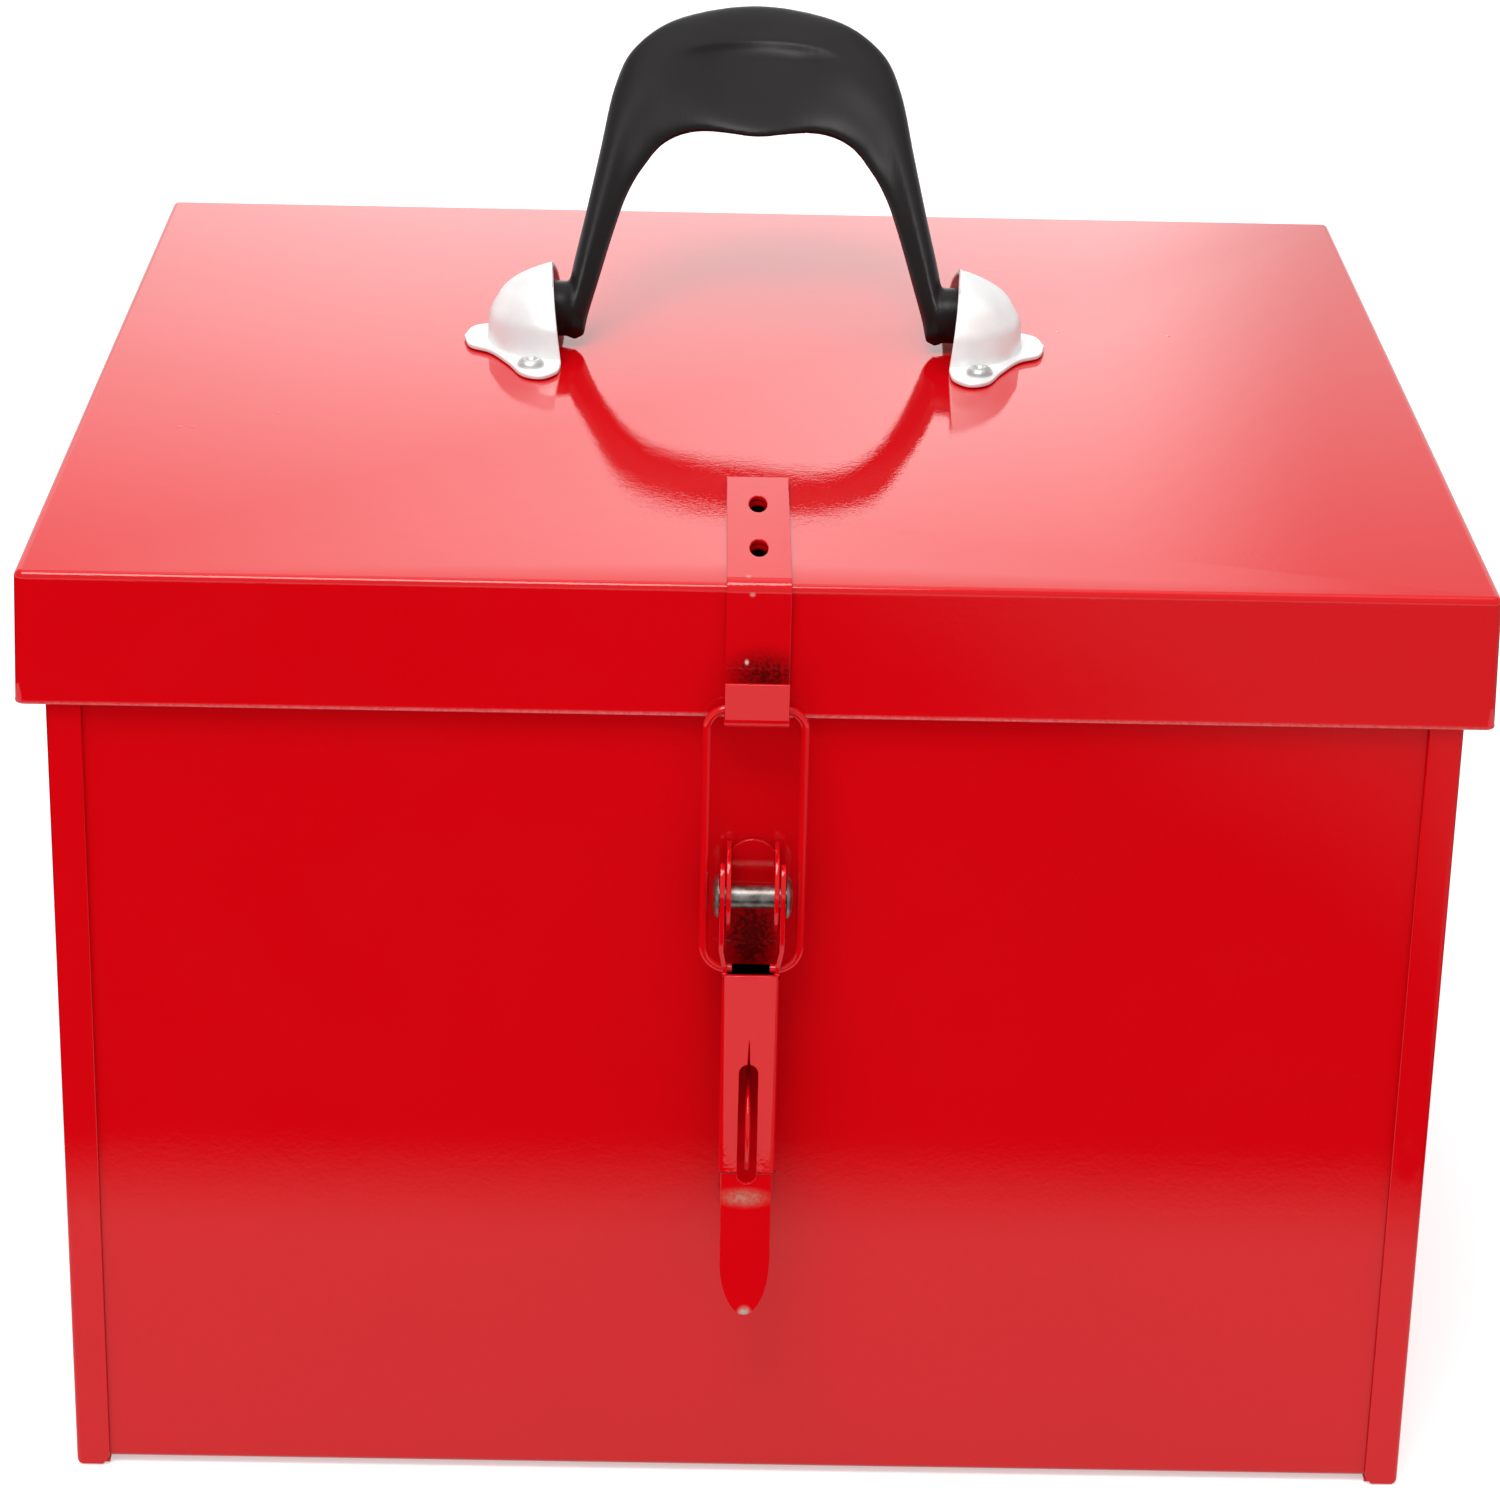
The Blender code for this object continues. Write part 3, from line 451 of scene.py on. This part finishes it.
def soften(obj, width, segments=3, angle=32.0):
    """Rounded sheet edges, with flat faces kept flat."""
    bevel = obj.modifiers.new("edges", "BEVEL")
    bevel.width = width * MM
    bevel.segments = segments
    bevel.limit_method = "ANGLE"
    bevel.angle_limit = radians(angle)
    bevel.use_clamp_overlap = False
    bevel.miter_outer = "MITER_ARC"
    normals = obj.modifiers.new("normals", "WEIGHTED_NORMAL")
    normals.keep_sharp = False
    normals.weight = 80


def piece(name, bm, mat, nodes, body, smooth=50.0):
    """A bmesh in millimetres becomes a piece that stands for CAD nodes."""
    bmesh.ops.scale(bm, verts=bm.verts, vec=(MM, MM, MM))
    bmesh.ops.recalc_face_normals(bm, faces=bm.faces)
    mesh = bpy.data.meshes.new(name)
    bm.to_mesh(mesh)
    bm.free()
    mesh.shade_smooth()
    mesh.set_sharp_from_angle(angle=radians(smooth))
    mesh.materials.append(mat)
    obj = bpy.data.objects.new(name, mesh)
    bpy.context.collection.objects.link(obj)
    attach(obj, body)
    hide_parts(*nodes)
    return obj


def edged(node, mat, width):
    """A CAD node keeps its shape and gets a finish and rounded edges."""
    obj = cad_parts[node]
    obj.data.materials.clear()
    obj.data.materials.append(mat)
    weld = obj.modifiers.new("weld", "WELD")
    weld.merge_threshold = 0.000002
    flat = obj.modifiers.new("flat", "DECIMATE")
    flat.decimate_type = "DISSOLVE"
    flat.angle_limit = radians(1.0)
    soften(obj, width)


def ahead(distance):
    """y of a place that is this far in front of the body's front sheet."""
    return BODY_FRONT - distance


# ---------------------------------------------------------------- lid

def slot_outline(y):
    turns = [2 * pi * i / 40 for i in range(40)]
    return [(SLOT[0] * cos(a), y + SLOT[1] * sin(a)) for a in turns]


def lid_ring(inset, z, radius, splay=0.0):
    """Rounded rectangle round the lid, with its sides splayed outwards."""
    hx, hy = LID_HALF[0] - inset + splay, LID_HALF[1] - inset
    ring = []
    for k, (sx, sy) in enumerate(((1, 1), (-1, 1), (-1, -1), (1, -1))):
        centre = (sx * (hx - radius), LID_Y + sy * (hy - radius))
        ring += [(x, y, z) for x, y in arc(centre, radius, 90 * k, 90 * k + 90, 6)]
    return ring


def make_lid(mat):
    bm = bmesh.new()
    rings = []
    for i in range(7):
        a = radians(90 * i / 6)
        rings.append(lid_ring(LID_BEND * (1 - sin(a)), LID_TOP - LID_BEND * (1 - cos(a)),
                              0.7 + LID_BEND * sin(a)))
    low = LID_TOP - SKIRT
    for t in (0.02, 0.25, 0.5, 0.75, 0.96):
        rings.append(lid_ring(0, LID_TOP - LID_BEND - (SKIRT - LID_BEND) * t, 2.3, SKIRT_SPLAY * t))
    for a in range(0, 91, 18):
        rings.append(lid_ring(SKIRT_LIP - SKIRT_LIP * cos(radians(a)),
                              low + SKIRT_LIP - SKIRT_LIP * sin(radians(a)), 1.9, SKIRT_SPLAY))
    rings.append(lid_ring(LID_SHEET, low + 1.5, 1.4, SKIRT_SPLAY))
    rings.append(lid_ring(LID_SHEET, LID_TOP - LID_BEND - 1.0, 1.4))
    rings.append(lid_ring(LID_SHEET + 0.6, LID_TOP - LID_SHEET, 1.0))
    loft(bm, rings)
    for y in SLOTS_Y:
        cutter = bmesh.new()
        prism(cutter, slot_outline(y), LID_TOP - 3, LID_TOP + 3, lambda a, b, w: (a, b, w))
        bm = combined(bm, cutter, "DIFFERENCE")
    piece("lid", bm, mat, ["lid_pan"], "lid", 35.0)


# ---------------------------------------------------------------- brackets, rivets and handle

def make_bracket(name, side, mat):
    """A pressed half dome running smoothly into a lobed foot."""
    front = spline(FOOT_OUTLINE, 6)
    outline = front + [Vector((p.x, -p.y)) for p in front[-2::-1]]
    count = len(outline) - 1
    base = LID_TOP + GAP + BRACKET_SHEET
    height = DOME_HEIGHT - GAP - BRACKET_SHEET - 0.3
    levels = 22
    bm = bmesh.new()

    def vertex(u, v, up):
        lean = DOME_LEAN * up / height
        return bm.verts.new((side * (BRACKET_X + u + lean), HANDLE_Y + v, base + up))

    rows = []
    for k in range(1, levels + 1):
        r = k / levels
        rise = height * (1 - 0.45 * r ** 1.2) * (1 - r ** 8) ** 0.5
        flare = 1.0 + 0.07 * smoothstep(0.86, 1.0, r)
        ring = []
        for i in range(count + 1):
            b = pi * (i / count - 0.5)
            ring.append(vertex(DOME_OUT * r * flare * cos(b), DOME_HALF * r * flare * sin(b), rise))
        rows.append(ring)
    apex = vertex(0, 0, height)
    inner = []
    edge = []
    for i, p in enumerate(outline):
        b = pi * (i / count - 0.5)
        start = Vector((DOME_OUT * 1.08 * cos(b), DOME_HALF * 1.08 * sin(b)))
        inner.append(vertex(*(start.lerp(p, 0.5)), 0))
        edge.append(vertex(p.x, p.y, 0))
    rows += [inner, edge]
    for i in range(count):
        bm.faces.new((apex, rows[0][i], rows[0][i + 1]))
        for a, b in zip(rows, rows[1:]):
            bm.faces.new((a[i], b[i], b[i + 1], a[i + 1]))
    obj = piece(name, bm, mat, [name], "lid")
    sheet = obj.modifiers.new("sheet", "SOLIDIFY")
    sheet.thickness = BRACKET_SHEET * MM
    sheet.offset = -1.0
    sheet.use_even_offset = True
    soften(obj, 0.35, 3, 45.0)


def make_rivets(mat):
    """Four rivets: a head with a dimple above the foot, a shank, and a tail under the lid."""
    seat = LID_TOP + 2 * GAP + BRACKET_SHEET - 0.25
    under = LID_TOP - LID_SHEET - 0.2
    profile = [(0, seat + 0.9), (0.7, seat + 0.95), (1.15, seat + 1.3), (1.5, seat + 1.75),
               (1.9, seat + 1.9), (2.5, seat + 1.8), (3.1, seat + 1.35), (3.5, seat + 0.75),
               (3.6, seat + 0.3), (3.6, seat), (1.9, seat), (1.9, under), (2.95, under),
               (3.0, under - 0.3), (2.5, under - 1.05), (1.0, under - 1.1), (0, under - 1.1)]
    for sx, left in ((-1, "left"), (1, "right")):
        for sy, front in ((-1, "front"), (1, "rear")):
            bm = bmesh.new()
            turned(bm, profile, (sx * (BRACKET_X + RIVET[0]), HANDLE_Y + sy * RIVET[1], 0))
            name = f"rivet_{left}_{front}"
            piece(name, bm, mat, [name], "lid", 40.0)


def handle_half(c, x):
    """Thickness of the handle's section: c runs from the inner edge (-1) to the rim (1)."""
    grip = 1 - smoothstep(9.0, 28.0, abs(x))
    web = smoothstep(0.30, 0.14, c)
    leg = 1 - 0.25 * smoothstep(0.2, -0.6, c) * (1 - grip)
    return leg * (1 - grip * 0.44 * web)


def make_handle(mat):
    stations = list(HANDLE_STATIONS)
    for (ox, oy, oz), (ix, iy, iz), depth in HANDLE_STATIONS[-2::-1]:
        stations.append(((-ox, oy, oz), (-ix, iy, iz), depth))
    outer, inner = (spline([s[k] for s in stations], HANDLE_STEPS) for k in (0, 1))
    depths = spline([(s[2], 0.0) for s in stations], HANDLE_STEPS)
    rows = [(o, i, d.x) for o, i, d in zip(outer, inner, depths)]
    middles = [(o + i) / 2 for o, i, _ in rows]
    place = Vector((0, HANDLE_Y, LID_TOP))
    rings = []
    for index, (o, i, depth) in enumerate(rows):
        reach = (o - i) / 2
        before = middles[max(index - 2, 0)]
        after = middles[min(index + 2, len(middles) - 1)]
        across = (after - before).cross(reach).normalized() * (depth / 2)
        ring = []
        for k in range(HANDLE_SIDES):
            a = 2 * pi * k / HANDLE_SIDES
            c = cos(a)
            thick = (abs(sin(a)) ** 0.85) * (1 if sin(a) > 0 else -1)
            ring.append(place + middles[index] + reach * c
                        + across * thick * handle_half(c, middles[index].x))
        rings.append(ring)
    bm = bmesh.new()
    loft(bm, rings)
    axis = place + Vector((0, 0, PIVOT_UP))
    for side in (-1, 1):
        profile = [(0, 47.6), (2.6, 47.7), (4.8, 48.3), (6.5, 49.4), (7.4, 51.0), (7.6, 52.8),
                   (7.6, 58.2), (7.0, 58.8), (0, 58.8)]
        trunnion = bmesh.new()
        turned(trunnion, [(r, side * x) for r, x in profile], axis, "X", 36)
        bm = combined(bm, trunnion, "UNION")
    obj = piece("handle", bm, mat, ["handle_grip"], "handle", 180.0)
    skin = obj.modifiers.new("skin", "REMESH")
    skin.mode = "VOXEL"
    skin.voxel_size = 0.55 * MM
    skin.use_smooth_shade = True
    fillet = obj.modifiers.new("fillet", "SMOOTH")
    fillet.factor = 0.5
    fillet.iterations = 12


# ---------------------------------------------------------------- latch

def web_out(z):
    """How far the lever's face stands out at a height: it leans, and its tongue bends out."""
    down = min(1.0, max(0.0, (WEB_TOP - z) / (WEB_TOP - WEB_BOTTOM)))
    bend = max(0.0, (WEB_BOTTOM - z) / (WEB_BOTTOM - TONGUE_TIP))
    return LEVER_OUT + WEB_LEAN * down + TONGUE_BEND * bend ** 1.5


def channel(z, half, depth):
    """Outline of the lever's folded channel at a height, with round outer bends."""
    face = web_out(z)
    r_out, r_in = 1.5, 0.4
    ring = [(half, ahead(face - depth))]
    ring += arc((half - r_out, ahead(face) + r_out), r_out, 0, -90, 5)
    ring += arc((-half + r_out, ahead(face) + r_out), r_out, -90, -180, 5)
    ring += [(-half, ahead(face - depth))]
    back = ahead(face - LEVER_SHEET)
    wall = half - LEVER_SHEET
    ring += [(-wall, ahead(face - depth))]
    ring += arc((-wall + r_in, back + r_in), r_in, 180, 270, 3)
    ring += arc((wall - r_in, back + r_in), r_in, 270, 360, 3)
    ring += [(wall, ahead(face - depth))]
    return [(x, y, z) for x, y in ring]


def make_lever(mat):
    """A channel with two ears round the pin, a flat tongue, and a slot for the staple."""
    bm = bmesh.new()
    rings = []
    for i in range(9):
        z = WEB_TOP - (WEB_TOP - WEB_BOTTOM) * i / 8
        depth = web_out(z) - WALL_OUT if i < 8 else 3.0
        rings.append(channel(z, LEVER_HALF, depth))
    loft(bm, rings)
    for side in (-1, 1):
        rings = []
        stations = [(WEB_TOP - 0.5, 0.0, WALL_OUT, LEVER_OUT - 1.3),
                    (WEB_TOP + 2.0, 0.15, WALL_OUT, 10.6), (WEB_TOP + 4.5, 0.6, WALL_OUT, 11.2),
                    (WEB_TOP + 7.0, 1.0, WALL_OUT, 12.4), (WEB_TOP + 10.0, 1.0, WALL_OUT, 13.4)]
        for i in range(10):
            a = radians(86 * i / 9)
            stations.append((PIN_Z + EAR_TOP * sin(a), 1.0, PIN_OUT - EAR_ROUND * cos(a),
                             PIN_OUT + EAR_ROUND * cos(a)))
        for z, wide, p0, p1 in stations:
            x1 = LEVER_HALF + (LEVER_EAR_HALF - LEVER_HALF) * wide
            x0 = x1 - LEVER_SHEET
            rings.append([(side * x0, ahead(p0), z), (side * x1, ahead(p0), z),
                          (side * x1, ahead(p1), z), (side * x0, ahead(p1), z)])
        wall = bmesh.new()
        loft(wall, rings)
        bm = combined(bm, wall, "UNION")
    tongue = bmesh.new()
    rings = []
    shoulder = TONGUE_TIP + TONGUE_ROUND
    heights = [WEB_BOTTOM + 1.0 - 1.5 * i for i in range(13)]
    heights += [shoulder - TONGUE_ROUND * sin(radians(a)) for a in range(0, 89, 8)]
    for z in heights:
        half = TONGUE_HALF
        if z < shoulder:
            half *= max(0.0, 1 - ((shoulder - z) / TONGUE_ROUND) ** 2) ** 0.5
        ring = []
        for k in range(9):
            x = half * (k / 4 - 1)
            ring.append((x, ahead(web_out(z) - 0.25 * (x / TONGUE_HALF) ** 2), z))
        for k in range(9):
            x = half * (1 - k / 4)
            ring.append((x, ahead(web_out(z) - LEVER_SHEET), z))
        rings.append(ring)
    loft(tongue, rings)
    bm = combined(bm, tongue, "UNION")
    half, low, high = LEVER_SLOT
    hole = bmesh.new()
    outline = arc((0, high - half), half, 0, 180, 12) + arc((0, low + half), half, 180, 360, 12)
    prism(hole, outline, ahead(22), ahead(LEVER_OUT - 4), lambda a, b, w: (a, w, b))
    bm = combined(bm, hole, "DIFFERENCE")
    slit = bmesh.new()
    outline = [(-0.3, high - 0.5), (0.3, high - 0.5), (0.0, high + 6.0)]
    prism(slit, outline, ahead(15), ahead(LEVER_OUT), lambda a, b, w: (a, w, b))
    bm = combined(bm, slit, "DIFFERENCE")
    obj = piece("lever", bm, mat, ["latch_lever"], "lever", 35.0)
    soften(obj, 0.22, 2, 40.0)


def make_bail(mat):
    """Round wire; its two ends turn in through the lever's walls."""
    (out_low, low), (out_high, high) = BAIL_LOW, BAIL_HIGH
    corners = [Vector(p) for p in ((-BAIL_END, low), (-BAIL_HALF, low), (-BAIL_HALF, high),
                                   (BAIL_HALF, high), (BAIL_HALF, low), (BAIL_END, low))]
    route = [corners[0]]
    for before, corner, after, r in zip(corners, corners[1:], corners[2:], BAIL_BENDS):
        a, b = (before - corner).normalized(), (after - corner).normalized()
        centre = corner + (a + b) * r
        for i in range(13):
            t = radians(90 * i / 12)
            route.append(centre - b * (r * cos(t)) - a * (r * sin(t)))
    route.append(corners[-1])
    lean = (out_high - out_low) / (high - low)
    across = Vector((0, lean, 1)).cross(Vector((1, 0, 0))).normalized()
    rings = []
    for i, p in enumerate(route):
        along = (route[min(i + 1, len(route) - 1)] - route[max(i - 1, 0)]).normalized()
        flat = Vector((-along.y, -lean * along.x, along.x)).normalized()
        middle = Vector((p.x, ahead(out_low + lean * (p.y - low)), p.y))
        angles = [2 * pi * k / 20 for k in range(20)]
        rings.append([middle + BAIL_WIRE_R * (flat * cos(a) + across * sin(a)) for a in angles])
    bm = bmesh.new()
    loft(bm, rings)
    piece("bail", bm, mat, ["latch_bail"], "bail", 60.0)


def make_pin(mat):
    """The latch's pin, with a domed head at each end."""
    head = LEVER_EAR_HALF + GAP
    profile = [(0, -head - 1.35), (2.4, -head - 1.35), (3.6, -head - 1.15), (4.6, -head - 0.8),
               (5.1, -head - 0.4), (5.2, -head), (2.8, -head), (2.75, 0), (2.8, head),
               (5.2, head), (5.1, head + 0.4), (4.6, head + 0.8), (3.6, head + 1.15),
               (2.4, head + 1.35), (0, head + 1.35)]
    bm = bmesh.new()
    turned(bm, profile, (0, ahead(PIN_OUT), PIN_Z), "X", 36)
    piece("pin", bm, mat, ["latch_pin"], "box", 45.0)


def make_staple(mat):
    """A hoop of flat strip with rounded edges, standing out through the lever's slot."""
    foot = GAP + 1.2 + GAP
    rings = []
    for i in range(33):
        a = pi * i / 32
        reach = STAPLE_OUT - foot - STAPLE_BAR / 2
        middle = Vector((0, ahead(foot + reach * sin(a)),
                         STAPLE_Z - (STAPLE_HALF - STAPLE_BAR / 2) * cos(a)))
        away = Vector((0, -sin(a), -cos(a))).normalized()
        ring = []
        for k in range(16):
            b = 2 * pi * k / 16
            ring.append(middle + Vector((0.68 * cos(b), 0, 0)) + away * (STAPLE_BAR / 2 * sin(b)))
        rings.append(ring)
    bm = bmesh.new()
    loft(bm, rings)
    piece("staple", bm, mat, ["padlock_staple"], "box", 60.0)


# ---------------------------------------------------------------- build

bpy.context.scene.view_settings.view_transform = "Standard"
make_camera()
make_world()
make_floor()
make_lights()

RED = enamel("red_enamel")
TAN, PALE = (0.40, 0.24, 0.17), (0.75, 0.60, 0.55)
# Painted shade: a near-black red laid on where the latch is only in shadow and dark reflection, not
# dirt.
PAINTED_SHADE = (0.11, 0.002, 0.003)
# The lid's mark is a painted highlight: a pale line round the skirt's lower edge, standing in for a
# glint of light on the rounded edge.
LID_RED = enamel("red_enamel_lid", (
    ((0, LID_Y, 209.9), (420.0, 420.0, 1.1), (0.80, 0.24, 0.24), 0.9, 0.3),))
LEVER_RED = enamel("red_enamel_lever", (
    ((-0.5, ahead(16.8), 88.2), (8.5, 9.0, 3.4), TAN, 0.75, 0.5),
    ((0.2, ahead(19.2), 57.6), (2.2, 4.0, 2.2), (0.45, 0.36, 0.30), 1.3, 0.5)),
    lean=(2, TONGUE_TIP - 4, WEB_TOP + 2, 8.8, 0.0))
# The strap's first mark is painted shade: dark red on its face above the hook, standing in for the
# shade and the dark reflection of the trough below. The three pale marks are chips in the paint.
STRAP_RED = enamel("red_enamel_strap", (
    ((2.0, LID_Y - 165.1, 221.0), (14.0, 3.0, 9.0), PAINTED_SHADE, 1.2, 0.06),
    ((-2.6, LID_Y - 165.1, 224.2), (0.7, 3.0, 1.0), PALE, 1.4, 0.5),
    ((-2.6, LID_Y - 161.5, 244.0), (1.2, 1.6, 1.0), PALE, 0.7, 0.5),
    ((-1.6, LID_Y - 164.8, 241.2), (1.0, 1.4, 0.8), PALE, 0.6, 0.5)),
    lean=(1, LID_Y - 163, LID_Y - 88, 0.0, 3.4))
# The base's mark is painted shade: dark red round and below the pin, where the lever's walls shade
# the base.
BASE_RED = enamel("red_enamel_base", (
    ((0, ahead(1.5), 152.0), (10.0, 5.0, 16.0), PAINTED_SHADE, 1.6, 0.08),))
FLANGE_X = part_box("end_panel_right")[1].x / MM - 4.6
FLANGE_Y = BODY_FRONT - 1.3
PANEL_RED = enamel("red_enamel_panel", dents=(
    ((FLANGE_X, FLANGE_Y, 95.0), (3.4, 2.0, 9.0), 0.10),
    ((FLANGE_X, FLANGE_Y, 35.0), (3.4, 2.0, 9.0), 0.08),
    ((-FLANGE_X, FLANGE_Y, 67.0), (3.4, 2.0, 11.0), 0.10),
    ((-FLANGE_X, FLANGE_Y, 22.0), (3.0, 2.0, 7.0), 0.05)))
ZINC = zinc("zinc", 0.3, 0.84, 0.93)
RIVET_ZINC = zinc("zinc_rivet", 0.9, 0.55, 0.80)
STEEL, PLASTIC = steel(), plastic()

for node in ("body_shell", "hinge_leaf_lower", "hinge_leaf_upper"):
    edged(node, RED, 0.3)
for node in ("end_panel_left", "end_panel_right"):
    edged(node, PANEL_RED, 0.3)
edged("catch_strap", STRAP_RED, 0.28)
edged("latch_base", BASE_RED, 0.3)
edged("hinge_pin", STEEL, 0.3)
make_lid(LID_RED)
make_bracket("bracket_left", -1, ZINC)
make_bracket("bracket_right", 1, ZINC)
make_rivets(RIVET_ZINC)
make_handle(PLASTIC)
make_lever(LEVER_RED)
make_bail(RED)
make_pin(STEEL)
make_staple(RED)
